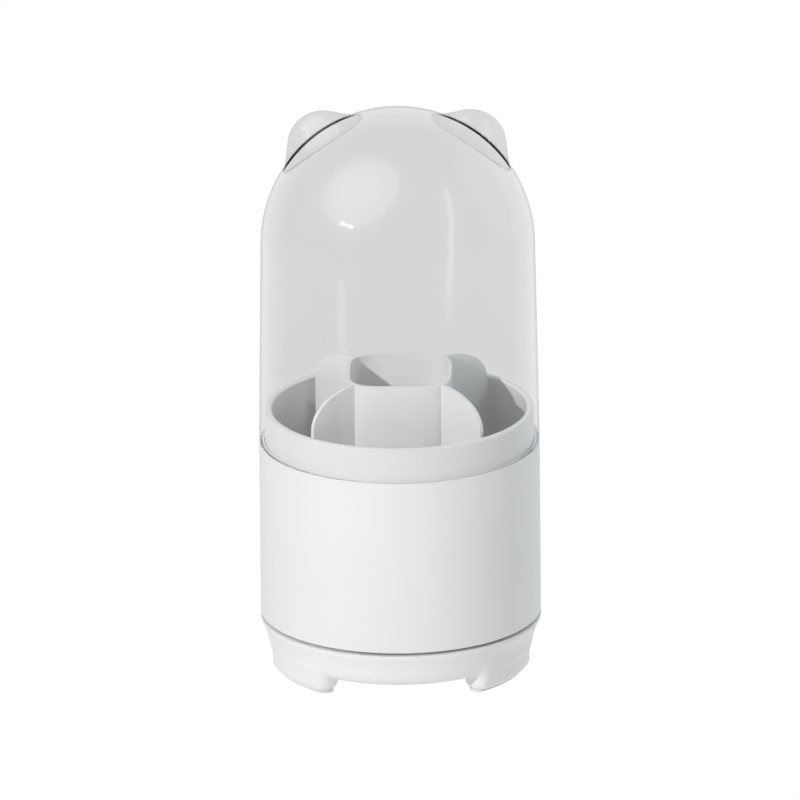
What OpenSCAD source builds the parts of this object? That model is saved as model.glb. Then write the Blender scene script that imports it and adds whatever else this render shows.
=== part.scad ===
// Rotating makeup brush holder with a clear dust cover.
// A footed base carries a ball turntable, the double-walled cup turns on it, a five-pocket
// divider stands in the cup, and an eared clear dome lifts off the cup's shoulder.
// The origin is at the middle of the footprint, on the surface that the pads rest on, +Z up.

/* [Cup] */
// Outer radius of the cup, the base's top edge and the cover's lower edge
cup_r = 65; // [60:0.5:75]
// Height of the outer shell, from its lower edge to the shoulder that the cover rests on
cup_h = 83; // [70:1:110]
// Thickness of the shell's floor above the race seat
cup_floor = 2; // [1.5:0.1:3]
// Height of the liner's collar above the shoulder
collar_h = 15.9; // [10:0.1:24]
// Thickness of the collar, from its outer face to the inside of the cup
collar_wall = 3.4; // [2.6:0.1:4.5]
// Length of the collar's grip inside the outer shell
collar_grip = 10; // [8:0.5:16]
// Thickness of the liner's wall and floor below the collar
liner_wall = 1.8; // [1.4:0.1:2.2]
// Space between the shell's floor and the liner's floor
floor_space = 4.85; // [3.5:0.05:8]
// Radius of the rounding where the liner's floor meets its wall
liner_corner = 5; // [2:0.5:8]
// Radius of the roundings on the collar's top edge
rim_round = 1.3; // [0.5:0.1:1.6]
// Number of ribs that carry the liner's floor
rib_count = 8; // [4:1:12]
// Thickness of those ribs
rib_t = 1.6; // [1:0.1:2.4]

/* [Cover] */
// Distance that the cover's side draws in, from its lower edge to the middle of the dome
cover_taper = 1.5; // [0.5:0.1:4]
// Height of the drafted side, from the shoulder to the middle of the dome
side_h = 95.5; // [80:0.5:130]
// Thickness of the clear wall
cover_wall = 2; // [1.5:0.1:2.4]
// Radius of an ear, seen from the front
ear_r = 16.6; // [10:0.1:18]
// Depth of an ear, front to back
ear_depth = 18; // [12:0.5:26]
// Thickness of an ear's clear wall
ear_wall = 1.6; // [1.2:0.1:2]
// Angle of each ear's middle above the middle of the dome
ear_tilt = 54.8; // [45:0.1:65]
// Distance of each ear's middle inside the dome's outer face
ear_sink = 4.5; // [0:0.1:7]

/* [Divider] */
// Width of the middle tube
tube_w = 49; // [40:0.5:56]
// Squareness of the tube: 2 is round, and a larger number is squarer
tube_square = 4; // [3:0.1:6]
// Height of the tube
divider_h = 105; // [90:1:120]
// Thickness of the tube and fins
divider_wall = 1.8; // [1.2:0.1:2.4]
// Gap between a fin's outer edge and the inside of the cup
fin_gap = 3.6; // [2:0.1:8]
// Height over which a fin's rounded top falls to its outer edge
fin_drop = 16; // [8:0.5:30]
// Turn of the divider in the cup, in degrees
divider_turn = -1.5; // [-10:0.5:10]
// Height of the raised plinth that keeps the tube in the middle
plinth_h = 2; // [1:0.1:4]

/* [Base] */
// Distance that the base spreads, from its waist to its top edge
waist_inset = 4.4; // [2:0.1:6]
// Height of the bowl from its underside to its top edge
bowl_h = 17; // [15:0.5:24]
// Thickness of the bowl's wall and floor
bowl_wall = 2.3; // [1.8:0.1:2.8]
// Radius of the hollow flare between the waist and the top edge
flare_r = 37; // [30:1:60]
// Radius of the rounding at the bottom of the bowl
bottom_round = 6; // [4:0.5:8]
// Height of the upright lip above the flare
lip_h = 1.5; // [0.8:0.1:3]
// Number of feet
foot_count = 3; // [3:1:4]
// Height of a foot below the bowl's underside
foot_h = 7; // [5:0.5:12]
// Width of a foot across its middle line
foot_w = 14; // [11:0.5:16]
// Angle between the middles of a foot's two round ends
foot_span = 37; // [24:1:46]
// Radius of the rounding at the bottom of a foot
foot_round = 4; // [2:0.5:5]
// Height of a pad that stands out below its foot
pad_proud = 1; // [0.5:0.1:2]
// Depth of the recess that holds a pad
pad_sink = 0.5; // [0.3:0.1:1]
// Distance from a foot's side to its pad
pad_inset = 3; // [2:0.1:4]

/* [Turntable] */
// Gap between the base's top edge and the cup's lower edge
turn_gap = 1.5; // [1:0.1:2.5]
// Radius of the steel balls
ball_r = 2; // [1.5:0.1:2.5]
// Number of steel balls
ball_count = 12; // [8:1:16]
// Radius of the circle that the balls run on
track_r = 40; // [36:0.5:44]
// Width of a race ring
race_w = 13; // [10:0.5:16]
// Thickness of a race ring
race_t = 2.2; // [1.8:0.1:3]
// Depth of a race's groove
groove_depth = 0.8; // [0.5:0.1:1]
// Depth to which a race sits in its seat
race_sink = 0.8; // [0.4:0.1:1.2]
// Width of the ball cage
cage_w = 8; // [6:0.5:10]
// Thickness of the deck under the lower race
deck_t = 2; // [1.6:0.1:3]
// Width of the deck's upright neck, which closes the gap against dust
neck_w = 1.8; // [1.2:0.1:2.4]
// Distance from the neck to the bowl's outer edge
neck_inset = 3.6; // [3:0.1:4.5]
// Radius of the cup's hub
hub_r = 8; // [6:0.1:10]
// Radius of the thick collar round the hub's bore
hub_collar_r = 12; // [11:0.5:15]
// Depth of that collar below the deck
hub_collar_h = 2; // [1:0.1:4]

/* [Fasteners] */
// Radius of the washer that holds the cup down
washer_r = 12; // [10:0.5:14]
// Thickness of that washer
washer_t = 1.2; // [0.8:0.1:2]
// Radius of the pivot screw's shank
pivot_shank_r = 2; // [1.5:0.1:2.5]
// Length of the pivot screw's shank
pivot_len = 12; // [8:0.5:13]
// Radius of a deck screw's shank
screw_shank_r = 1.5; // [1.2:0.1:1.8]
// Length of a deck screw's shank
screw_len = 8.5; // [6:0.5:10]
// Number of deck screws
screw_count = 3; // [3:1:4]
// Radius of the circle that the deck screws stand on
screw_circle_r = 24; // [21:0.5:26]
// Radius of the screw bosses
boss_r = 5.2; // [4.6:0.1:6]

/* [Clearances] */
// Space between the cover's wall and the collar at the shoulder
cover_clear = 0.6; // [0.4:0.05:1]
// Space around pieces that are fitted into each other and stay there
fit_clear = 0.2; // [0.1:0.05:0.4]
// Radial running clearance of the hub in its bore
hub_clear = 0.08; // [0.02:0.01:0.1]
// Running clearance of a ball in its groove
ball_clear = 0.05; // [0.02:0.01:0.1]
// Clearance of a ball in its cage pocket
pocket_clear = 0.15; // [0.1:0.05:0.3]
// Clearance above and below the cage
cage_clear = 0.3; // [0.2:0.05:0.4]
// End play of the cup on its hub
end_play = 0.15; // [0.1:0.05:0.3]
// Clearance round a screw in a through hole
screw_clear = 0.2; // [0.1:0.05:0.4]
// Clearance of the tube round the plinth
plinth_clear = 0.4; // [0.3:0.05:0.8]

/* [Hidden] */
$fn = 96;
through = 1;                 // extra depth of a cut that goes right through
thread_clear = 0.02;         // between a screw and its pilot hole
bead_r = 0.5;                // snap bead that locks the liner into the shell
bead_drop = 6;               // from the shoulder down to the snap bead
edge_round = 0.5;            // small roundings on outer edges
neck_clear = 0.35;           // between the neck and the cup's floor
head_r_ratio = 2;            // a pan head's radius over its shank's
head_h_ratio = 1.25;         // a pan head's height over its shank's radius
slot_ratio = 0.4;            // width of a cross recess over the shank's radius
recess_ratio = 0.55;         // depth of a cross recess over the head's height
root_bury = 0.9;             // how far a fin's root runs into the tube's wall
fin_corner = 7;              // chamfer of a fin's lower outer corner
rib_inner_r = 12;            // from the middle to the inner end of a rib
overlap = 0.5;               // how far a joined feature runs into the wall that carries it
head_rise = 0.3;             // from the bowl's floor up to a screw head's seat
foot_top_ratio = 0.55;       // how far up the bowl's bottom rounding a foot runs
pad_round = 0.3;             // rounding of a pad's lower edge
halves_lap = 1;              // angle that a foot's half runs past its middle before the cut
boss_step = 1;               // how much narrower the deck's screw bosses are than the bowl's

// Heights
foot_z = pad_proud;
bowl_z = foot_z + foot_h;
base_top_z = bowl_z + bowl_h;
cup_z = base_top_z + turn_gap;
ball_z = base_top_z + turn_gap / 2;
race_gap = 2 * (ball_r - groove_depth);
lower_seat_z = ball_z - race_gap / 2 - race_t;
upper_seat_z = ball_z + race_gap / 2 + race_t;
deck_z = lower_seat_z - deck_t;
deck_top_z = lower_seat_z + race_sink;
hub_collar_z = deck_z - hub_collar_h;
hub_end_z = hub_collar_z - end_play;
cup_floor_z = upper_seat_z - race_sink;
cup_floor_top_z = upper_seat_z + cup_floor;
neck_top_z = cup_floor_z - neck_clear;
liner_z = cup_floor_top_z + floor_space;
liner_floor_z = liner_z + liner_wall;
shoulder_z = cup_z + cup_h;
rim_z = shoulder_z + collar_h;
grip_z = shoulder_z - collar_grip;
spring_z = shoulder_z + side_h;
washer_z = hub_end_z - washer_t;
bowl_floor_top_z = bowl_z + bowl_wall;

// Radii
dome_r = cup_r - cover_taper;
collar_r = cup_r - cover_wall - cover_clear;
shell_in_r = collar_r + fit_clear;
liner_in_r = collar_r - collar_wall;
liner_out_r = liner_in_r + liner_wall;
fin_reach = liner_in_r - fin_gap;
waist_r = cup_r - waist_inset;
deck_r = cup_r - neck_inset;
race_in_r = track_r - race_w / 2;
race_out_r = track_r + race_w / 2;
foot_mid_r = waist_r - foot_w / 2;
hub_bore_r = hub_r + hub_clear;
tube_corner_r = tube_w / 2 * sqrt(2) * pow(0.5, 1 / tube_square);

// The flare's circle stands outside the wall, and the bottom rounding touches it.
flare_rise = sqrt(pow(flare_r, 2) - pow(flare_r - (cup_r - waist_r), 2));
flare_c = [waist_r + flare_r, base_top_z - lip_h - flare_rise];
round_z = bowl_z + bottom_round;
round_c = [
    flare_c[0] - sqrt(pow(flare_r + bottom_round, 2) - pow(round_z - flare_c[1], 2)),
    round_z
];
touch_a = -asin((round_z - flare_c[1]) / (flare_r + bottom_round));

// The bowl's screw bosses: a head seats inside each, and the deck's own boss stands on it
head_seat_z = bowl_floor_top_z + head_rise;
boss_meet_z = head_seat_z + bowl_wall;

BALLS = [for (i = [1:ball_count]) str("ball_", i)];
PADS = [for (i = [1:foot_count]) str("foot_pad_", i)];

// Points on an arc about c, from angle a0 to angle a1, in steps that suit its radius.
function arc(c, r, a0, a1) =
    let (n = r < 1 ? 4 : r < 8 ? 6 : 10)
    r <= 0 ? [c] : [for (i = [0:n]) let (a = a0 + (a1 - a0) * i / n) c + r * [cos(a), sin(a)]];

function back(points) = [for (i = [len(points) - 1:-1:0]) points[i]];

function signed_pow(x, p) = sign(x) * pow(abs(x), p);

// A rounded square with bowed sides, half_w from its middle to each side.
function squircle(half_w, n = 96) =
    [for (i = [0:n - 1])
        let (a = 360 * i / n)
        half_w * [signed_pow(cos(a), 2 / tube_square), signed_pow(sin(a), 2 / tube_square)]];

// The bowl's wall from its floor up to z_top, moved inward by inset.
function bowl_side(inset, z_top) =
    concat(
        arc(round_c, bottom_round - inset, -90, touch_a),
        arc(flare_c, flare_r + inset, 180 + touch_a,
            180 - asin((z_top - flare_c[1]) / (flare_r + inset))));

// Half of a foot's cross-section, half_w wide, rounded at its bottom corner by r.
function foot_half(half_w, z0, z1, r) =
    concat([[0, z0]], arc([half_w - r, z0 + r], r, -90, 0), [[half_w, z1], [0, z1]]);

// Half of an ear's outline, from the front of its middle round to the back.
function ear_half(r, depth) =
    [for (a = [-90:6:90]) [r * cos(a), depth / 2 * sin(a)]];

module ring(r_in, r_out, z0, z1) {
    rotate_extrude() translate([r_in, z0]) square([r_out - r_in, z1 - z0]);
}

module post(r, z0, z1) {
    translate([0, 0, z0]) cylinder(r = r, h = z1 - z0);
}

module torus(r_path, r_tube, z) {
    rotate_extrude() translate([r_path, z]) circle(r = r_tube);
}

// A block with round ends that follows the foot circle. Its two mirrored halves meet at its middle.
module bean(inset, z0, z1, r) {
    half = foot_half(foot_w / 2 - inset, z0, z1, r);
    mirrored = [for (i = [len(half) - 2:-1:1]) [-half[i][0], half[i][1]]];
    for (side = [0, 1]) mirror([0, side, 0]) difference() {
        rotate([0, 0, -foot_span / 2]) {
            rotate_extrude(angle = foot_span / 2 + halves_lap)
                translate([foot_mid_r, 0]) polygon(concat(half, mirrored));
            translate([foot_mid_r, 0, 0]) rotate([0, 0, 180])
                rotate_extrude(angle = 180) polygon(half);
        }
        translate([0, 0, z0 - through]) cube([cup_r, foot_w, z1 - z0 + 2 * through]);
    }
}

// A pan-head screw that points up. Its head seats at z, and its shank runs up from there.
module screw(shank_r, length, z) {
    head_h = head_h_ratio * shank_r;
    head_r = head_r_ratio * shank_r;
    slot = slot_ratio * shank_r;
    difference() {
        union() {
            post(shank_r, z - overlap, z + length);
            rotate_extrude() polygon(concat(
                [[0, z], [0, z - head_h]],
                arc([head_r - head_h / 2, z - head_h / 2], head_h / 2, -90, 0),
                [[head_r, z]]));
        }
        for (turn = [0, 90])
            rotate([0, 0, turn])
                translate([-head_r / 2, -slot / 2, z - head_h - through])
                    cube([head_r, slot, through + recess_ratio * head_h]);
    }
}

// One foot points straight back, and foot 1 is the front left one.
module at_foot(i) {
    rotate([0, 0, 90 + 360 * i / foot_count]) children();
}

module at_screws() {
    for (i = [1:screw_count])
        rotate([0, 0, 360 * (i - 0.75) / screw_count]) translate([screw_circle_r, 0, 0]) children();
}

module at_ball(i) {
    rotate([0, 0, 360 * (i - 0.5) / ball_count]) translate([track_r, 0, ball_z]) children();
}

// The footed dish that closes the base from below.
module base_bowl() {
    ledge_r = deck_r + fit_clear;
    foot_top_z = bowl_z + foot_top_ratio * bottom_round;
    counterbore_r = head_r_ratio * screw_shank_r + 2 * screw_clear;
    color("white") difference() {
        union() {
            rotate_extrude() polygon(concat(
                [[0, bowl_z]],
                bowl_side(0, base_top_z - lip_h),
                arc([cup_r - edge_round, base_top_z - edge_round], edge_round, 0, 90),
                [[ledge_r, base_top_z], [ledge_r, deck_z]],
                back(bowl_side(bowl_wall, deck_z)),
                [[0, bowl_floor_top_z]]));
            for (i = [1:foot_count]) at_foot(i) bean(0, foot_z, foot_top_z, foot_round);
            at_screws() post(boss_r, bowl_z + overlap, boss_meet_z);
        }
        for (i = [1:foot_count]) at_foot(i) {
            bean(bowl_wall, foot_z + bowl_wall, foot_top_z + through, foot_round - bowl_wall);
            bean(pad_inset, foot_z - through, foot_z + pad_sink, 0);
        }
        at_screws() {
            post(counterbore_r, bowl_z - through, head_seat_z);
            post(screw_shank_r + screw_clear, bowl_z, boss_meet_z + through);
        }
    }
}

module foot_pad(i) {
    color("gainsboro") at_foot(i)
        bean(pad_inset + fit_clear / 2, 0, foot_z + pad_sink, pad_round);
}

// The plate that closes the bowl, seats the lower race and stands up as a dust neck.
module base_deck() {
    seat_in_r = race_in_r - fit_clear;
    seat_out_r = race_out_r + fit_clear;
    neck_in_r = deck_r - neck_w;
    color("white") difference() {
        union() {
            rotate_extrude() polygon([
                [hub_bore_r, hub_collar_z], [hub_collar_r, hub_collar_z], [hub_collar_r, deck_z],
                [deck_r, deck_z], [deck_r, neck_top_z], [neck_in_r, neck_top_z],
                [neck_in_r, deck_top_z], [seat_out_r, deck_top_z], [seat_out_r, lower_seat_z],
                [seat_in_r, lower_seat_z], [seat_in_r, deck_top_z], [hub_bore_r, deck_top_z]]);
            at_screws() post(boss_r - boss_step, boss_meet_z, deck_z + overlap);
        }
        at_screws()
            post(screw_shank_r + thread_clear, boss_meet_z - through,
                 head_seat_z + screw_len + thread_clear);
    }
}

module deck_screws() {
    color("silver") at_screws() screw(screw_shank_r, screw_len, head_seat_z);
}

module lower_race() {
    color("silver") difference() {
        ring(race_in_r, race_out_r, lower_seat_z, lower_seat_z + race_t);
        torus(track_r, ball_r + ball_clear, ball_z);
    }
}

module upper_race() {
    color("silver") difference() {
        ring(race_in_r, race_out_r, upper_seat_z - race_t, upper_seat_z);
        torus(track_r, ball_r + ball_clear, ball_z);
    }
}

module ball_cage() {
    half_h = race_gap / 2 - cage_clear;
    color("ivory") difference() {
        ring(track_r - cage_w / 2, track_r + cage_w / 2, ball_z - half_h, ball_z + half_h);
        for (i = [1:ball_count])
            at_ball(i) post(ball_r + pocket_clear, -race_gap, race_gap);
    }
}

module ball(i) {
    color("silver") at_ball(i) sphere(r = ball_r);
}

// The outer shell: floor, race seat, hub and wall, up to the shoulder.
module cup_shell() {
    seat_in_r = race_in_r - fit_clear;
    seat_out_r = race_out_r + fit_clear;
    rib_outer_r = liner_in_r - liner_corner;
    color("white") difference() {
        union() {
            rotate_extrude() polygon(concat(
                [[0, hub_end_z], [hub_r, hub_end_z], [hub_r, cup_floor_z],
                 [seat_in_r, cup_floor_z], [seat_in_r, upper_seat_z],
                 [seat_out_r, upper_seat_z], [seat_out_r, cup_floor_z],
                 [shell_in_r, cup_floor_z], [shell_in_r, cup_z]],
                arc([cup_r - edge_round, cup_z + edge_round], edge_round, -90, 0),
                arc([cup_r - edge_round, shoulder_z - edge_round], edge_round, 0, 90),
                [[shell_in_r, shoulder_z], [shell_in_r, cup_floor_top_z],
                 [0, cup_floor_top_z]]));
            for (i = [1:rib_count])
                rotate([0, 0, 360 * i / rib_count])
                    translate([rib_inner_r, -rib_t / 2, cup_floor_top_z - overlap])
                        cube([rib_outer_r - rib_inner_r, rib_t, floor_space + overlap]);
        }
        torus(shell_in_r, bead_r + fit_clear, shoulder_z - bead_drop);
        post(pivot_shank_r + thread_clear, hub_end_z - through,
             washer_z + pivot_len + thread_clear);
    }
}

// The liner: the collar inside the cover, the pocket wall and the floor with its plinth.
module cup_liner() {
    outer_corner = liner_corner + liner_wall;
    step = collar_r - liner_out_r;
    color("white") {
        rotate_extrude() polygon(concat(
            [[0, liner_z]],
            arc([liner_out_r - outer_corner, liner_z + outer_corner], outer_corner, -90, 0),
            [[liner_out_r, grip_z - step], [collar_r, grip_z]],
            arc([collar_r - rim_round, rim_z - rim_round], rim_round, 0, 90),
            arc([liner_in_r + rim_round, rim_z - rim_round], rim_round, 90, 180),
            arc([liner_in_r - liner_corner, liner_floor_z + liner_corner], liner_corner, 0, -90),
            [[0, liner_floor_z]]));
        torus(collar_r, bead_r, shoulder_z - bead_drop);
        rotate([0, 0, divider_turn]) translate([0, 0, liner_floor_z - overlap])
            linear_extrude(plinth_h + overlap)
                polygon(squircle(tube_w / 2 - divider_wall - plinth_clear));
    }
}

module pivot_washer() {
    color("silver") ring(pivot_shank_r + screw_clear, washer_r, washer_z, hub_end_z);
}

module pivot_screw() {
    color("silver") screw(pivot_shank_r, pivot_len, washer_z);
}

// A rounded-square tube with a fin at each corner, which falls away in a quarter ellipse.
module divider_insert() {
    root_r = tube_corner_r - root_bury;
    fin = concat(
        [[root_r, 0]],
        arc([fin_reach - fin_corner, fin_corner], fin_corner, -90, 0),
        [for (a = [0:6:90])
            [root_r + (fin_reach - root_r) * cos(a), divider_h - fin_drop * (1 - sin(a))]]);
    color("white") rotate([0, 0, divider_turn]) translate([0, 0, liner_floor_z]) {
        difference() {
            linear_extrude(divider_h) polygon(squircle(tube_w / 2));
            translate([0, 0, -through]) linear_extrude(divider_h + 2 * through)
                polygon(squircle(tube_w / 2 - divider_wall));
        }
        for (i = [0:3])
            rotate([90, 0, 45 + 90 * i])
                translate([0, 0, -divider_wall / 2]) linear_extrude(divider_wall) polygon(fin);
    }
}

// Half of the cover's outline: a drafted side that runs smoothly into the dome.
module cover_outline(inset, z0) {
    draft = atan((cup_r - dome_r) / side_h);
    join = [dome_r - inset, 0] * cos(draft) + [0, spring_z + (dome_r - inset) * sin(draft)];
    polygon([[0, z0], [cup_r - inset, z0], join, [0, join[1]]]);
    intersection() {
        translate([0, spring_z]) circle(r = dome_r - inset);
        translate([0, join[1]]) square(dome_r);
    }
}

module cover_dome() {
    color("azure", 0.3) rotate_extrude() difference() {
        cover_outline(0, shoulder_z);
        cover_outline(cover_wall, shoulder_z);
    }
}

// A hollow lens-shaped ear that stands on the left of the dome's outer face.
module ear() {
    reach = dome_r - ear_sink;
    color("azure", 0.3) difference() {
        translate([-reach * cos(ear_tilt), 0, spring_z + reach * sin(ear_tilt)])
            rotate([90, 0, 0]) difference() {
                rotate_extrude() polygon(ear_half(ear_r, ear_depth));
                rotate_extrude()
                    polygon(ear_half(ear_r - ear_wall, ear_depth - 2 * ear_wall));
            }
        translate([0, 0, spring_z]) sphere(r = dome_r);
    }
}

base_bowl();
base_deck();
deck_screws();
lower_race();
ball_cage();
upper_race();
cup_shell();
cup_liner();
pivot_washer();
pivot_screw();
divider_insert();
cover_dome();
ear();  // ear_left
mirror([1, 0, 0]) ear();  // ear_right
for (i = [1:foot_count]) foot_pad(i);
for (i = [1:ball_count]) ball(i);
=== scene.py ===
"""The finish, clear cover, light and camera of the rotating makeup brush holder."""
import math

import bpy
import numpy as np
from mathutils import Matrix, Vector

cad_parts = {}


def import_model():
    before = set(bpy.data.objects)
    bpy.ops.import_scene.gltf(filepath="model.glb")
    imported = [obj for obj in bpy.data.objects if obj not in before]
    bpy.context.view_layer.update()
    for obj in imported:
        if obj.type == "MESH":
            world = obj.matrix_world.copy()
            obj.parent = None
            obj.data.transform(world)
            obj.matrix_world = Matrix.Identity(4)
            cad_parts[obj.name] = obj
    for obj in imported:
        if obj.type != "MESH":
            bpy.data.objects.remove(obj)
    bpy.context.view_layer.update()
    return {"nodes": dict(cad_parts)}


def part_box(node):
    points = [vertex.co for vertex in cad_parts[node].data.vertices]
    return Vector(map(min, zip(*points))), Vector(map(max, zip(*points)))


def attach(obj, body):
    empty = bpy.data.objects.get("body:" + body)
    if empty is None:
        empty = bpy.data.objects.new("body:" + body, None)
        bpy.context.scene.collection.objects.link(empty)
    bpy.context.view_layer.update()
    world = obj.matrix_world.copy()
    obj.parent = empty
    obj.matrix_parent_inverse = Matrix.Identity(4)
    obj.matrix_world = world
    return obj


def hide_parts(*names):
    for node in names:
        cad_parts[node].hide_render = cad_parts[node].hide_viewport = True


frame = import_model()

MM = 0.001
TINY = 1e-9


def low(node):
    """The lowest corner of a CAD node at rest, in millimetres."""
    return np.array(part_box(node)[0]) / MM


def high(node):
    """The highest corner of a CAD node at rest, in millimetres."""
    return np.array(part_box(node)[1]) / MM


# Cover: the clear side runs smoothly into a hemisphere. Faces of its side that look down
# more steeply than LIP_DOWN are its lip
COVER_R = high("cover_dome")[0]
COVER_Z = low("cover_dome")[2]
COVER_TOP_Z = high("cover_dome")[2]
COVER_TAPER = 1.5
COVER_WALL = 2.0
LIP_ROUND = 0.45
LIP_STEPS = 6
LIP_DOWN = -0.2
DOME_R = COVER_R - COVER_TAPER
DOME_Z = COVER_TOP_Z - DOME_R
DOME_STEPS = 64
LATHE_TURNS = 256

# Ears: hollow lenses with a soft fillet where they meet the dome. Their radius is a hair
# under the solids', so that they stay inside the part's box
EAR_R = 16.595
EAR_HALF_DEPTH = 9.0
EAR_WALL = 1.6
EAR_TILT = math.radians(54.8)
EAR_SINK = 4.5
EAR_FILLET = 8.0
EAR_LIFT = 0.05
EAR_FLOOR = 0.7
EAR_CELL = 0.45
EAR_CREASE = 15

# A clear piece's material slots: its outer face, its inner face, and its lip or weld
OUTER, INNER, EDGE = range(3)

# Base: a flared bowl that flows into three feet, with a ledge inside for the deck. FOOT_SPAN
# is the angle that a foot's middle line covers, and FOOT_BLUNT squeezes its round ends
BASE_R = high("base_bowl")[0]
BASE_TOP_Z = high("base_bowl")[2]
BOWL_Z = 8.0
BOWL_WALL = 2.3
BOTTOM_ROUND = 6.0
FLARE_R = 37.0
WAIST_R = 60.6
LIP_H = 1.5
LIP_EDGE = 0.5
LEDGE_R = high("base_deck")[0] + 0.2
LEDGE_Z = 20.35
LEDGE_LAP = 0.1
FOOT_COUNT = 3
FIRST_FOOT = 90
FOOT_R = 7.0
FOOT_SPAN = math.radians(37)
FOOT_BLUNT = 1.35
FOOT_Z = 1.0
FOOT_ROUND = 4.0
FOOT_TOP_Z = 12.0
FOOT_FILLET = 2.6
PAD_INSET = 3.0
PAD_DEPTH = 0.5
BASE_CELL = 0.9
SCREW_COUNT = 3
FIRST_SCREW = 30
SCREW_CIRCLE_R = 24.0
SCREW_HOLE_R = 3.4
SCREW_HOLE_EDGE = 0.3
SCREW_WALL = 2.0
SCREW_SEAT_Z = 10.6

# Nets: steps that settle their vertices, and the reach and least slope of such a step
SETTLE_STEPS = 5
SLOPE_REACH = 0.02
LEAST_SLOPE = 0.05

# Shading: edges sharper than the crease stay crisp, in degrees. Noise mostly stays between
# its low and its high
CREASE = 35
NOISE_LOW = 0.3
NOISE_HIGH = 0.7

# Divider: its softened edges
DIVIDER_EDGE = 0.4
DIVIDER_EDGE_STEPS = 3
WELD_REACH = 0.005
FLAT_WITHIN = math.radians(0.5)
EDGE_ABOVE = math.radians(40)

# Clear acrylic: what a wall lets through, from face on (0) to its limb (1), then what it mirrors
# The cover's grey tint is its own, and its rise to fully clear just inside the limb is painted sheen
COVER_TINT_AND_PAINTED_SHEEN = ((0.0, 0.896), (0.45, 0.90), (0.63, 0.94), (0.71, 0.968), (0.785, 1.0), (0.82, 0.98),
              (0.87, 0.92), (1.0, 0.86))
EAR_TINT = ((0.0, 0.92), (0.90, 0.90), (1.0, 0.55))
# The weld face turns black at a glance: a painted dark line
WELD_PAINTED_DARK_LINE = ((0.0, 1.0), (0.80, 1.0), (0.815, 0.0))
BLUE_CAST = 1.005
OUTER_SHEEN = 0.03
INNER_SHEEN = 0.012
LIMB_MIRROR = 0.6
LIMB_POWER = 6.5
SHARP_GLOSS = 0.09
SOFT_GLOSS = 0.34
INNER_GLOSS = 0.08
RIPPLE_WAVES = 35.0
RIPPLE_STRENGTH = 0.15
OUTER_RIPPLE = 0.0001
INNER_RIPPLE = 0.0002
# Share of painted white glow on the cover's lip
EDGE_PAINTED_GLOW = 0.8

# Studio, in metres and watts. CLEAR_FACES is the most clear faces that a view goes through
CLEAR_FACES = 24
BACKDROP_GREY = 0.85
FLOOR_HALF = 30.0
FLOOR_GLOW = 0.78
FLOOR_SHADE = 0.10
WORLD_TINT = (0.94, 0.98, 1.0)
WORLD_LIGHT = 0.22
WORLD_GLEAM = 0.6
AIM_Z = 0.13
LAMP_DISTANCE = 2.4

# Rings of reflected light that fade outwards: the size and power of each card
OVERHEAD_RINGS = ((0.9, 5.2), (1.3, 10.5), (1.7, 16.5))
SIDE_RINGS = ((0.9, 1.6), (1.4, 3.6), (1.9, 6.0))

# Ends of the strips whose reflections are the cover's upright streaks
RIGHT_STREAK_FOOT = (0.258, -0.306, 0.092)
RIGHT_STREAK_BEND = (0.275, -0.287, 0.304)
RIGHT_STREAK_TIP = (0.236, -0.110, 0.525)
LEFT_STREAK_FOOT = (-0.277, -0.276, 0.058)
LEFT_STREAK_TIP = (-0.277, -0.276, 0.110)

# Photograph: where the origin falls in its frame, its scale in pixels to a metre, and the
# camera. CAMERA_REACH is how far it sees, in times its distance
PHOTO_SIDE = 800
PHOTO_SCALE = 2154.0
ORIGIN_AT = (401.4, 661.2)
CAMERA_RISE = math.radians(19.0)
CAMERA_ROLL = math.radians(0.5)
CAMERA_LENS = 1700
CAMERA_REACH = 4
SENSOR = 36


# ---------------------------------------------------------------- meshes

def arc(centre, radius, start, end, count):
    """Points on an arc of a (radius, height) outline, angles in degrees."""
    angles = np.radians(np.linspace(start, end, count + 1))
    return [(centre[0] + radius * math.cos(a), centre[1] + radius * math.sin(a)) for a in angles]


def lathe(outline, turns):
    """Vertices and faces of an outline whose two ends lie on the Z axis, turned round that axis."""
    angles = np.linspace(0, 2 * math.pi, turns, endpoint=False)
    vertices, rings = [], []
    for r, z in outline:
        count = 1 if r < TINY else turns
        rings.append((len(vertices), count))
        vertices += [(r * math.cos(a), r * math.sin(a), z) for a in angles[:count]]
    faces = []
    for (first, n), (second, m) in zip(rings, rings[1:]):
        for i in range(turns):
            j = (i + 1) % turns
            quad = [first + i % n, first + j % n, second + j % m, second + i % m]
            faces.append(list(dict.fromkeys(quad)))
    return np.array(vertices), faces


def net(field, lowest, highest, cell):
    """Vertices and faces of the surface where field(points) is zero, inside a box.

    Each cell that the surface passes through gets a vertex, and a quad joins the four cells
    round each grid edge that it crosses. The vertices then move along the field's slope until
    they lie on the surface."""
    axes = [np.arange(lo, hi + cell, cell) for lo, hi in zip(lowest, highest)]
    grid = np.stack(np.meshgrid(*axes, indexing="ij"), -1)
    value = field(grid.reshape(-1, 3)).reshape(grid.shape[:3])
    vertices, index = cell_vertices(grid, value)
    for _ in range(SETTLE_STEPS):
        vertices = vertices - slope_step(field, vertices, cell)
    return vertices, edge_quads(value < 0, index)


def cell_vertices(grid, value):
    """The mean of the places where each cell's edges are crossed, and each cell's vertex number."""
    cells = tuple(n - 1 for n in value.shape)
    total = np.zeros(cells + (3,))
    count = np.zeros(cells)

    def at(corner, array):
        return array[tuple(slice(c, c + n) for c, n in zip(corner, cells))]

    for a in np.ndindex(2, 2, 2):
        for axis in range(3):
            if a[axis]:
                continue
            b = a[:axis] + (1,) + a[axis + 1:]
            near, far = at(a, value), at(b, value)
            crossed = (near < 0) != (far < 0)
            share = np.where(crossed, near / np.where(crossed, near - far, 1), 0)[..., None]
            total += np.where(crossed[..., None], at(a, grid) * (1 - share) + at(b, grid) * share, 0)
            count += crossed
    used = count > 0
    index = np.full(cells, -1)
    index[used] = np.arange(used.sum())
    return total[used] / count[used][:, None], index


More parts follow.
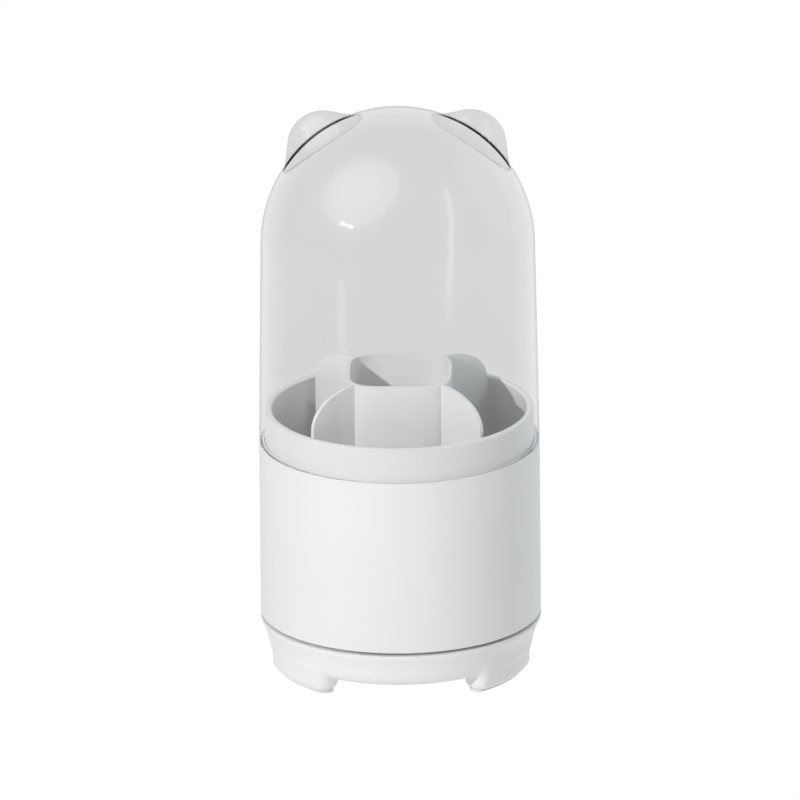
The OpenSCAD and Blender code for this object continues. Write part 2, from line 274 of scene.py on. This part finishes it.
def edge_quads(inside, index):
    """A quad round each grid edge that has only one end inside, facing out."""
    faces = []
    for axis in range(3):
        u, v = (axis + 1) % 3, (axis + 2) % 3
        crossed = inside != np.roll(inside, -1, axis)
        crossed[tuple(-1 if k == axis else slice(None) for k in range(3))] = False
        where = np.argwhere(crossed)
        where = where[(where[:, u] > 0) & (where[:, v] > 0)]
        where = where[(where[:, u] < index.shape[u]) & (where[:, v] < index.shape[v])]
        step_u, step_v = np.eye(3, dtype=int)[[u, v]]
        around = [where - step_u - step_v, where - step_v, where, where - step_u]
        quads = np.stack([index[tuple(c.T)] for c in around], 1)
        flip = ~inside[tuple(where.T)]
        quads[flip] = quads[flip][:, ::-1]
        faces.append(quads)
    return np.concatenate(faces).tolist()


def slope_step(field, points, cell):
    """The step from each point to the field's zero along its slope, at most half a cell."""
    reach = cell * SLOPE_REACH
    slope = np.stack(
        [(field(points + e) - field(points - e)) / (2 * reach) for e in np.eye(3) * reach], 1)
    steepness = np.maximum((slope**2).sum(1), LEAST_SLOPE)
    step = slope * (field(points) / steepness)[:, None]
    length = np.maximum(np.linalg.norm(step, axis=1), TINY)
    return step * np.minimum(1, cell / 2 / length)[:, None]


def round_join(a, b, r):
    """The distance field of two solids joined with a fillet of radius r."""
    return np.maximum(r, np.minimum(a, b)) - np.hypot(np.maximum(r - a, 0), np.maximum(r - b, 0))


def round_common(a, b, r):
    """The distance field of what two solids share, with its edge rounded by r."""
    return np.minimum(-r, np.maximum(a, b)) + np.hypot(np.maximum(r + a, 0), np.maximum(r + b, 0))


def piece(name, vertices, faces, body, materials, nodes):
    """A mesh in millimetres that rides on a body, in place of its CAD nodes."""
    mesh = bpy.data.meshes.new(name)
    mesh.from_pydata((np.asarray(vertices) * MM).tolist(), [], faces)
    mesh.validate()
    for material in materials:
        mesh.materials.append(material)
    obj = bpy.data.objects.new(name, mesh)
    bpy.context.collection.objects.link(obj)
    smooth(obj)
    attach(obj, body)
    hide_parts(*nodes)
    return obj


def smooth(obj, angle=CREASE):
    """Smooth shading, with edges sharper than the angle kept crisp."""
    obj.data.polygons.foreach_set("use_smooth", [True] * len(obj.data.polygons))
    obj.data.set_sharp_from_angle(angle=math.radians(angle))


def light_passes(obj):
    """Lets the studio's light through a clear piece without a shade."""
    obj.visible_shadow = False
    obj.visible_diffuse = False


def cover_dome(materials):
    """The clear cover's side and dome, with a rounded lower lip."""
    draft = math.degrees(math.atan(COVER_TAPER / (DOME_Z - COVER_Z)))
    lip_out, lip_in = COVER_R - LIP_ROUND, COVER_R - COVER_WALL + LIP_ROUND
    outline = (
        arc((0, DOME_Z), DOME_R, 90, draft, DOME_STEPS)
        + arc((lip_out, COVER_Z + LIP_ROUND), LIP_ROUND, 0, -90, LIP_STEPS)
        + arc((lip_in, COVER_Z + LIP_ROUND), LIP_ROUND, -90, -180, LIP_STEPS)
        + arc((0, DOME_Z), DOME_R - COVER_WALL, draft, 90, DOME_STEPS))
    outline[0], outline[-1] = (0, COVER_TOP_Z), (0, COVER_TOP_Z - COVER_WALL)
    vertices, faces = lathe(outline, LATHE_TURNS)
    obj = piece("cover_dome_clear", vertices, [f[::-1] for f in faces], "cover",
                materials, ["cover_dome"])
    for face in obj.data.polygons:
        face.material_index = cover_slot(face.center, face.normal)
    light_passes(obj)


def cover_slot(centre, normal):
    """The material slot of a face of the cover."""
    middle = Vector((0, 0, DOME_Z * MM))
    in_dome = centre.z > middle.z
    # The lip takes the edge material with its painted white glow
    if normal.z < LIP_DOWN and not in_dome:
        return EDGE
    out = centre - middle if in_dome else centre * Vector((1, 1, 0))
    return INNER if normal.dot(out) < 0 else OUTER


def cover_ear(side, name, node, materials):
    """One hollow ear: its lens, the fillet onto the dome, and the floor that it is welded by."""
    reach = DOME_R - EAR_SINK
    centre = np.array([side * reach * math.cos(EAR_TILT), 0, DOME_Z + reach * math.sin(EAR_TILT)])
    dome = np.array([0, 0, DOME_Z])

    def lens(points, inset):
        radii = np.array([EAR_R, EAR_HALF_DEPTH, EAR_R]) - inset
        scaled = (points - centre) / radii
        size = np.linalg.norm(scaled, axis=1)
        slope = np.maximum(np.linalg.norm(scaled / radii, axis=1), TINY)
        return size * (size - 1) / slope

    def above_dome(points):
        return np.linalg.norm(points - dome, axis=1) - DOME_R

    def field(points):
        outer = round_join(lens(points, 0), above_dome(points), EAR_FILLET)
        hollow = np.maximum(lens(points, EAR_WALL), EAR_LIFT + EAR_FLOOR - above_dome(points))
        return np.maximum(np.maximum(outer, EAR_LIFT - above_dome(points)), -hollow)

    reach_out = EAR_R + 2 * EAR_FILLET
    vertices, faces = net(field, centre - reach_out, centre + reach_out, EAR_CELL)
    obj = piece(name, vertices, faces, "cover", materials, [node])
    points = np.array([face.center for face in obj.data.polygons]) / MM
    slots = np.where(lens(points, EAR_WALL) < EAR_WALL / 4, INNER, OUTER)
    # Faces on the dome take the weld material and its painted dark line
    slots[above_dome(points) < EAR_LIFT * 2] = EDGE
    obj.data.polygons.foreach_set("material_index", slots.tolist())
    smooth(obj, EAR_CREASE)
    light_passes(obj)


def bowl_field(r, z):
    """The distance field of the flared bowl, without its feet."""
    rise = math.sqrt(FLARE_R**2 - (FLARE_R - (BASE_R - WAIST_R))**2)
    flare = FLARE_R - np.hypot(r - (WAIST_R + FLARE_R), z - (BASE_TOP_Z - LIP_H - rise))
    side = np.where(z > BASE_TOP_Z - LIP_H, r - BASE_R, flare)
    return round_common(side, BOWL_Z - z, BOTTOM_ROUND)


def feet_outline(x, y):
    """How far a place is outside the nearest foot, seen from above."""
    r = np.hypot(x, y)
    outside = []
    for i in range(FOOT_COUNT):
        turn = np.arctan2(y, x) - math.radians(FIRST_FOOT + 360 / FOOT_COUNT * i)
        turn = (turn + math.pi) % (2 * math.pi) - math.pi
        past_end = turn - np.clip(turn, -FOOT_SPAN / 2, FOOT_SPAN / 2)
        across = r * np.cos(past_end) - (WAIST_R - FOOT_R)
        along = r * np.sin(past_end) * FOOT_BLUNT
        outside.append(np.hypot(across, along) - FOOT_R)
    return np.minimum.reduce(outside)


def base_field(points):
    """The distance field of the footed bowl, hollow and with room for its pads and screws."""
    x, y, z = points.T
    r = np.hypot(x, y)
    in_foot = feet_outline(x, y)
    feet = np.maximum(round_common(in_foot, FOOT_Z - z, FOOT_ROUND), z - FOOT_TOP_Z)
    outside = round_join(bowl_field(r, z), feet, FOOT_FILLET)
    solid = round_common(outside, z - BASE_TOP_Z, LIP_EDGE)
    below_ledge = np.maximum(outside + BOWL_WALL, z - LEDGE_Z - LEDGE_LAP)
    hollow = np.minimum(below_ledge, np.maximum(r - LEDGE_R, LEDGE_Z - z))
    for i in range(SCREW_COUNT):
        a = math.radians(FIRST_SCREW + 360 / SCREW_COUNT * i)
        to_screw = np.hypot(x - SCREW_CIRCLE_R * math.cos(a), y - SCREW_CIRCLE_R * math.sin(a))
        hole = to_screw - SCREW_HOLE_R
        solid = round_common(solid, -np.maximum(hole, z - SCREW_SEAT_Z), SCREW_HOLE_EDGE)
        hollow = np.maximum(hollow, SCREW_WALL - hole)
    pads = np.maximum(in_foot + PAD_INSET, z - FOOT_Z - PAD_DEPTH)
    return np.maximum(np.maximum(solid, -hollow), -pads)


def base_bowl(material):
    """The footed bowl, in place of its plainer solid."""
    side = BASE_R + 2 * BASE_CELL
    vertices, faces = net(
        base_field, [-side, -side, FOOT_Z - 2 * BASE_CELL], [side, side, BASE_TOP_Z + 2 * BASE_CELL],
        BASE_CELL)
    piece("base_bowl_footed", vertices, faces, "base", [material], ["base_bowl"])


# ---------------------------------------------------------------- materials

class Nodes:
    """The nodes of a material or world, with short calls to add and link them."""

    def __init__(self, owner, output="ShaderNodeOutputMaterial"):
        owner.use_nodes = True
        self.owner = owner
        self.tree = owner.node_tree
        self.tree.nodes.clear()
        self.output = self.add(output)

    def finish(self, surface):
        """The material or world, with this shader as its surface."""
        self.link(surface, self.output.inputs["Surface"])
        return self.owner

    def add(self, kind, **settings):
        node = self.tree.nodes.new(kind)
        for key, value in settings.items():
            setattr(node, key, value)
        return node

    def link(self, source, target):
        self.tree.links.new(source, target)

    def noise(self, scale, detail=3.0):
        """Noise in the object's own coordinates. The scale is waves per metre."""
        place = self.add("ShaderNodeTexCoord")
        noise = self.add("ShaderNodeTexNoise")
        noise.inputs["Scale"].default_value = scale
        noise.inputs["Detail"].default_value = detail
        self.link(place.outputs["Object"], noise.inputs["Vector"])
        return noise.outputs["Fac"]

    def spread(self, source, low_value, high_value, start=NOISE_LOW, end=NOISE_HIGH):
        """Maps a range of the input to a range of values."""
        node = self.add("ShaderNodeMapRange")
        node.inputs["From Min"].default_value = start
        node.inputs["From Max"].default_value = end
        node.inputs["To Min"].default_value = low_value
        node.inputs["To Max"].default_value = high_value
        self.link(source, node.inputs["Value"])
        return node.outputs["Result"]

    def ramp(self, source, *stops):
        """A colour ramp with (position, colour) stops."""
        node = self.add("ShaderNodeValToRGB")
        ramp = node.color_ramp
        while len(ramp.elements) < len(stops):
            ramp.elements.new(0.5)
        for element, (position, colour) in zip(ramp.elements, stops):
            element.position = position
            element.color = (*colour, 1)
        self.link(source, node.inputs["Fac"])
        return node.outputs["Color"]

    def clouds(self, scale, darker, lighter):
        """A colour that wanders between two."""
        return self.ramp(self.noise(scale), (NOISE_LOW, darker), (NOISE_HIGH, lighter))

    def bump(self, height, distance, strength):
        node = self.add("ShaderNodeBump")
        node.inputs["Distance"].default_value = distance
        node.inputs["Strength"].default_value = strength
        self.link(height, node.inputs["Height"])
        return node.outputs["Normal"]

    def ripple(self, distance):
        """The slight waviness of a moulded clear wall."""
        return self.bump(self.noise(scale=RIPPLE_WAVES, detail=2.0), distance, RIPPLE_STRENGTH)

    def gloss(self, roughness, normal):
        """A mirror of this roughness."""
        node = self.add("ShaderNodeBsdfGlossy")
        node.inputs["Roughness"].default_value = roughness
        self.link(normal, node.inputs["Normal"])
        return node.outputs["BSDF"]

    def mix(self, share, first, second):
        """Two shaders mixed by the second's share."""
        node = self.add("ShaderNodeMixShader")
        self.link(share, node.inputs["Fac"])
        self.link(first, node.inputs[1])
        self.link(second, node.inputs[2])
        return node.outputs["Shader"]

    def clear(self, tint=None):
        """A shader that light goes straight through, with or without a tint."""
        node = self.add("ShaderNodeBsdfTransparent")
        if tint:
            self.link(tint, node.inputs["Color"])
        return node.outputs["BSDF"]

    def facing(self):
        """0 where a face looks at the eye, and 1 at its limb."""
        return self.add("ShaderNodeLayerWeight").outputs["Facing"]


def new_material(name):
    """The nodes of a new material."""
    return Nodes(bpy.data.materials.new(name))


def grey(value):
    """A neutral colour."""
    return (value, value, value)


def shade(colour, share):
    """A colour darkened to a share of itself."""
    return tuple(c * share for c in colour)


def moulded_plastic(name, colour, roughness):
    """Satin moulded plastic: a faint clouding of colour and gloss over a fine tool texture."""
    nodes = new_material(name)
    shader = nodes.add("ShaderNodeBsdfPrincipled")
    clouds = nodes.clouds(scale=22.0, darker=shade(colour, 0.975), lighter=colour)
    nodes.link(clouds, shader.inputs["Base Color"])
    polish = nodes.noise(scale=60.0, detail=4.0)
    nodes.link(nodes.spread(polish, roughness - 0.04, roughness + 0.04), shader.inputs["Roughness"])
    shader.inputs["IOR"].default_value = 1.49
    grain = nodes.noise(scale=2600.0, detail=2.0)
    nodes.link(nodes.bump(grain, distance=0.00001, strength=0.35), shader.inputs["Normal"])
    return nodes.finish(shader.outputs["BSDF"])


def clear_plastic(name, tint):
    """The outer face of clear moulded acrylic. It tints what is behind it for the whole wall, and
    the cover's tint brightens to fully clear just inside the limb as painted sheen.

    What it mirrors is part sharp and part soft, and rises from its sheen towards the limb."""
    nodes = new_material(name)
    facing = nodes.facing()
    # For the cover these stops hold painted sheen: a band that lets more through near the limb
    stops = [(position, (c, c, c * BLUE_CAST)) for position, c in tint]
    through = nodes.clear(nodes.ramp(facing, *stops))
    ripple = nodes.ripple(OUTER_RIPPLE)
    soft_share = nodes.spread(nodes.noise(scale=18.0), 0.5, 0.65)
    gloss = nodes.mix(soft_share, nodes.gloss(SHARP_GLOSS, ripple), nodes.gloss(SOFT_GLOSS, ripple))
    power = nodes.add("ShaderNodeMath", operation="POWER")
    power.inputs[1].default_value = LIMB_POWER
    nodes.link(facing, power.inputs[0])
    mirror = nodes.spread(power.outputs["Value"], OUTER_SHEEN, LIMB_MIRROR, 0.0, 1.0)
    return nodes.finish(nodes.mix(mirror, through, gloss))


def inner_face(name):
    """The inner face of a clear wall, which the light leaves with only a faint gleam."""
    nodes = new_material(name)
    sheen = nodes.spread(nodes.noise(scale=20.0), INNER_SHEEN * 0.8, INNER_SHEEN * 1.2)
    gloss = nodes.gloss(INNER_GLOSS, nodes.ripple(INNER_RIPPLE))
    return nodes.finish(nodes.mix(sheen, nodes.clear(), gloss))


def painted_glow_edge(name):
    """The lip of a clear wall, painted partly white: a painted glow standing in for the light that a
    polished edge gathers.
    """
    nodes = new_material(name)
    white = nodes.add("ShaderNodeBsdfDiffuse")
    clouds = nodes.clouds(scale=40.0, darker=(0.86, 0.86, 0.87), lighter=(0.92, 0.92, 0.93))
    nodes.link(clouds, white.inputs["Color"])
    share = nodes.spread(nodes.noise(scale=60.0), EDGE_PAINTED_GLOW * 0.9, EDGE_PAINTED_GLOW)
    return nodes.finish(nodes.mix(share, nodes.clear(), white.outputs["BSDF"]))


def weld_face(name, tint):
    """The face of an ear that is welded to the dome. At a glance it turns black, a painted dark
    line.
    """
    nodes = new_material(name)
    stops = [(position, grey(c)) for position, c in tint]
    return nodes.finish(nodes.clear(nodes.ramp(nodes.facing(), *stops)))


def turned_steel(name, colour, roughness, ring_scale):
    """Bright steel with fine rings from the lathe and a little uneven polish."""
    nodes = new_material(name)
    shader = nodes.add("ShaderNodeBsdfPrincipled")
    shader.inputs["Metallic"].default_value = 1.0
    clouds = nodes.clouds(scale=90.0, darker=shade(colour, 0.9), lighter=colour)
    nodes.link(clouds, shader.inputs["Base Color"])
    polish = nodes.spread(nodes.noise(scale=200.0), roughness * 0.8, roughness * 1.3)
    nodes.link(polish, shader.inputs["Roughness"])
    place = nodes.add("ShaderNodeTexCoord")
    rings = nodes.add("ShaderNodeTexWave", wave_type="RINGS", rings_direction="Z")
    rings.inputs["Scale"].default_value = ring_scale
    rings.inputs["Distortion"].default_value = 0.6
    nodes.link(place.outputs["Object"], rings.inputs["Vector"])
    grooves = nodes.bump(rings.outputs["Fac"], distance=0.00001, strength=0.3)
    nodes.link(grooves, shader.inputs["Normal"])
    return nodes.finish(shader.outputs["BSDF"])


def soft_rubber(name, colour):
    """Matt rubber with a fine pebble."""
    nodes = new_material(name)
    shader = nodes.add("ShaderNodeBsdfPrincipled")
    clouds = nodes.clouds(scale=120.0, darker=shade(colour, 0.85), lighter=colour)
    nodes.link(clouds, shader.inputs["Base Color"])
    shader.inputs["Roughness"].default_value = 0.8
    pebble = nodes.bump(nodes.noise(scale=1800.0), distance=0.00006, strength=0.6)
    nodes.link(pebble, shader.inputs["Normal"])
    return nodes.finish(shader.outputs["BSDF"])


def paint(node, material):
    """Gives a CAD node its material and smooth shading."""
    obj = frame["nodes"][node]
    for slot in obj.material_slots:
        slot.material = material
    smooth(obj)


def soften_edges(obj, width, steps):
    """Rounds a CAD node's sharp edges with modifiers, so its own mesh stays as it is."""
    weld = obj.modifiers.new("weld", "WELD")
    weld.merge_threshold = WELD_REACH * MM
    flat = obj.modifiers.new("flat", "DECIMATE")
    flat.decimate_type = "DISSOLVE"
    flat.angle_limit = FLAT_WITHIN
    bevel = obj.modifiers.new("edges", "BEVEL")
    bevel.width = width * MM
    bevel.segments = steps
    bevel.angle_limit = EDGE_ABOVE


# ---------------------------------------------------------------- the holder

shell_white = moulded_plastic("shell_white_satin", grey(0.765), roughness=0.38)
liner_white = moulded_plastic("liner_white_satin", grey(0.785), roughness=0.34)
divider_white = moulded_plastic("divider_white_satin", (0.81, 0.81, 0.802), roughness=0.42)
base_white = moulded_plastic("base_white_satin", grey(0.80), roughness=0.40)
cage_natural = moulded_plastic("cage_natural_nylon", (0.72, 0.68, 0.58), roughness=0.5)
race_steel = turned_steel("race_steel_turned", (0.62, 0.62, 0.64), roughness=0.22, ring_scale=90.0)
screw_steel = turned_steel("screw_steel", (0.6, 0.6, 0.62), roughness=0.3, ring_scale=300.0)
ball_steel = turned_steel("ball_steel_polished", (0.75, 0.75, 0.77), roughness=0.08, ring_scale=40.0)
pad_pale = soft_rubber("pad_rubber_pale", (0.74, 0.74, 0.73))
cover_clear = clear_plastic("cover_clear_acrylic", COVER_TINT_AND_PAINTED_SHEEN)
cover_inner = inner_face("cover_inner_acrylic")
cover_painted_glow = painted_glow_edge("cover_edge_painted_glow")
ear_clear = clear_plastic("ear_clear_acrylic", EAR_TINT)
ear_weld = weld_face("ear_weld_acrylic", WELD_PAINTED_DARK_LINE)

for node, material in {
    "base_deck": base_white, "cup_shell": shell_white, "cup_liner": liner_white,
    "divider_insert": divider_white, "ball_cage": cage_natural, "lower_race": race_steel,
    "upper_race": race_steel, "deck_screws": screw_steel, "pivot_screw": screw_steel,
    "pivot_washer": screw_steel,
}.items():
    paint(node, material)
for node in frame["nodes"]:
    if node.startswith("foot_pad"):
        paint(node, pad_pale)
    elif node.startswith("ball_") and node != "ball_cage":
        paint(node, ball_steel)
soften_edges(frame["nodes"]["divider_insert"], DIVIDER_EDGE, DIVIDER_EDGE_STEPS)

cover_dome([cover_clear, cover_inner, cover_painted_glow])
cover_ear(-1, "ear_left_clear", "ear_left", [ear_clear, cover_inner, ear_weld])
cover_ear(1, "ear_right_clear", "ear_right", [ear_clear, cover_inner, ear_weld])
base_bowl(base_white)


# ---------------------------------------------------------------- studio

def cut_out(nodes, lighting):
    """Lights the holder with one shader, and shows the camera a plain surround in its place.

    The photograph's surround was cut out to white, but its grey backdrop stays in the cover.
    So a view straight to the surround is white, and a view through the cover is grey."""
    ray = nodes.add("ShaderNodeLightPath").outputs
    surround = nodes.add("ShaderNodeEmission")
    brightness = nodes.spread(ray["Transparent Depth"], 1.0, BACKDROP_GREY, 0.0, 1.0)
    nodes.link(brightness, surround.inputs["Strength"])
    return nodes.mix(ray["Is Camera Ray"], lighting, surround.outputs["Emission"])


def studio_floor():
    """A plain pale floor, with light of its own so that it stays even under the holder."""
    nodes = new_material("floor_pale")
    diffuse = nodes.add("ShaderNodeBsdfDiffuse")
    diffuse.inputs["Color"].default_value = (*grey(FLOOR_SHADE), 1)
    glow = nodes.add("ShaderNodeEmission")
    glow.inputs["Strength"].default_value = FLOOR_GLOW
    both = nodes.add("ShaderNodeAddShader")
    nodes.link(diffuse.outputs["BSDF"], both.inputs[0])
    nodes.link(glow.outputs["Emission"], both.inputs[1])
    mesh = bpy.data.meshes.new("floor")
    corners = [(-1, -1), (1, -1), (1, 1), (-1, 1)]
    mesh.from_pydata([(x * FLOOR_HALF, y * FLOOR_HALF, 0) for x, y in corners], [], [(0, 1, 2, 3)])
    mesh.materials.append(nodes.finish(cut_out(nodes, both.outputs["Shader"])))
    floor = bpy.data.objects.new("floor", mesh)
    bpy.context.collection.objects.link(floor)


def world():
    """Even light from all round, brighter in reflections, before a plain white backdrop."""
    nodes = Nodes(bpy.data.worlds.new("studio"), "ShaderNodeOutputWorld")
    lighting = nodes.add("ShaderNodeBackground")
    lighting.inputs["Color"].default_value = (*WORLD_TINT, 1)
    ray = nodes.add("ShaderNodeLightPath").outputs
    strength = nodes.spread(ray["Is Glossy Ray"], WORLD_LIGHT, WORLD_GLEAM, 0.0, 1.0)
    nodes.link(strength, lighting.inputs["Strength"])
    bpy.context.scene.world = nodes.finish(cut_out(nodes, lighting.outputs["Background"]))


def lamp(name, azimuth, rise, size, power, colour=(1, 1, 1), distance=LAMP_DISTANCE, card=False):
    """A round light that looks at the holder. Azimuth 0 is at the camera's side, 90 on its right."""
    light = bpy.data.lights.new(name, "AREA")
    light.energy = power
    light.color = colour
    light.shape = "DISK"
    light.size = size
    a, e = math.radians(azimuth), math.radians(rise)
    out = Vector((math.sin(a) * math.cos(e), -math.cos(a) * math.cos(e), math.sin(e)))
    obj = bpy.data.objects.new(name, light)
    obj.location = Vector((0, 0, AIM_Z)) + out * distance
    obj.rotation_euler = (-out).to_track_quat("-Z", "Y").to_euler()
    link_light(obj, card)


def strip(name, start, end, width, power):
    """A narrow card between two points."""
    light = bpy.data.lights.new(name, "AREA")
    light.energy = power
    light.shape = "RECTANGLE"
    start, end = Vector(start), Vector(end)
    light.size, light.size_y = width, (end - start).length
    obj = bpy.data.objects.new(name, light)
    middle = (start + end) / 2
    along = (end - start).normalized()
    away = middle - Vector((0, 0, AIM_Z))
    away = (away - along * away.dot(along)).normalized()
    obj.matrix_world = matrix_of(along.cross(away), along, away, middle)
    link_light(obj, card=True)


def link_light(obj, card):
    """Adds a light out of the camera's sight. Only a card shows in reflections, and only there."""
    obj.visible_diffuse = not card
    obj.visible_glossy = card
    obj.visible_camera = False
    bpy.context.collection.objects.link(obj)


def camera():
    """A long lens far away, aimed so that the origin and the scale match the photograph's."""
    data = bpy.data.cameras.new("camera")
    data.lens = CAMERA_LENS
    data.sensor_width = SENSOR
    distance = CAMERA_LENS / SENSOR * PHOTO_SIDE / PHOTO_SCALE
    data.clip_end = distance * CAMERA_REACH
    back = Vector((0, -math.cos(CAMERA_RISE), math.sin(CAMERA_RISE)))
    level_right = Vector((1, 0, 0))
    level_up = back.cross(level_right)
    up = level_up * math.cos(CAMERA_ROLL) + level_right * math.sin(CAMERA_ROLL)
    right = level_right * math.cos(CAMERA_ROLL) - level_up * math.sin(CAMERA_ROLL)
    aim_x = (PHOTO_SIDE / 2 - ORIGIN_AT[0]) / PHOTO_SCALE
    aim_y = (ORIGIN_AT[1] - PHOTO_SIDE / 2) / PHOTO_SCALE
    obj = bpy.data.objects.new("camera", data)
    obj.matrix_world = matrix_of(right, up, back, right * aim_x + up * aim_y + back * distance)
    bpy.context.collection.objects.link(obj)
    bpy.context.scene.camera = obj


def matrix_of(right, up, back, place):
    """The 4 by 4 matrix of an object with these axes at this place."""
    rotation = Matrix((right, up, back)).transposed().to_4x4()
    return Matrix.Translation(place) @ rotation


studio_floor()
world()
lamp("key", azimuth=-36, rise=25, size=0.055, power=33.0, colour=(1.0, 0.99, 0.985))
lamp("fill_left", azimuth=-60, rise=30, size=1.0, power=3.0)
lamp("fill_front", azimuth=30, rise=10, size=1.4, power=4.5)
lamp("fill_right", azimuth=70, rise=30, size=1.0, power=2.6, colour=(0.75, 0.96, 1.0))
lamp("side", azimuth=120, rise=40, size=1.0, power=11.0, colour=(0.85, 0.98, 1.0))
lamp("back", azimuth=180, rise=45, size=0.8, power=16.0)
lamp("spark_left", azimuth=-53.9, rise=28.7, size=0.055, power=1.9, card=True)
lamp("spark_right", azimuth=-45.7, rise=28.6, size=0.055, power=1.9, card=True)
for size, power in OVERHEAD_RINGS:
    lamp("overhead", azimuth=-58, rise=56, size=size, power=power, distance=1.5, card=True)
for size, power in SIDE_RINGS:
    lamp("side_card", azimuth=118, rise=22, size=size, power=power, distance=2.0, card=True)
lamp("ceiling", azimuth=0, rise=82, size=3.2, power=8.0, distance=2.2)
strip("strip_right_low", RIGHT_STREAK_FOOT, RIGHT_STREAK_BEND, width=0.030, power=0.085)
strip("strip_right_high", RIGHT_STREAK_BEND, RIGHT_STREAK_TIP, width=0.030, power=0.11)
strip("strip_left", LEFT_STREAK_FOOT, LEFT_STREAK_TIP, width=0.040, power=0.018)
camera()
bpy.context.scene.view_settings.view_transform = "Standard"
bpy.context.scene.cycles.transparent_max_bounces = CLEAR_FACES
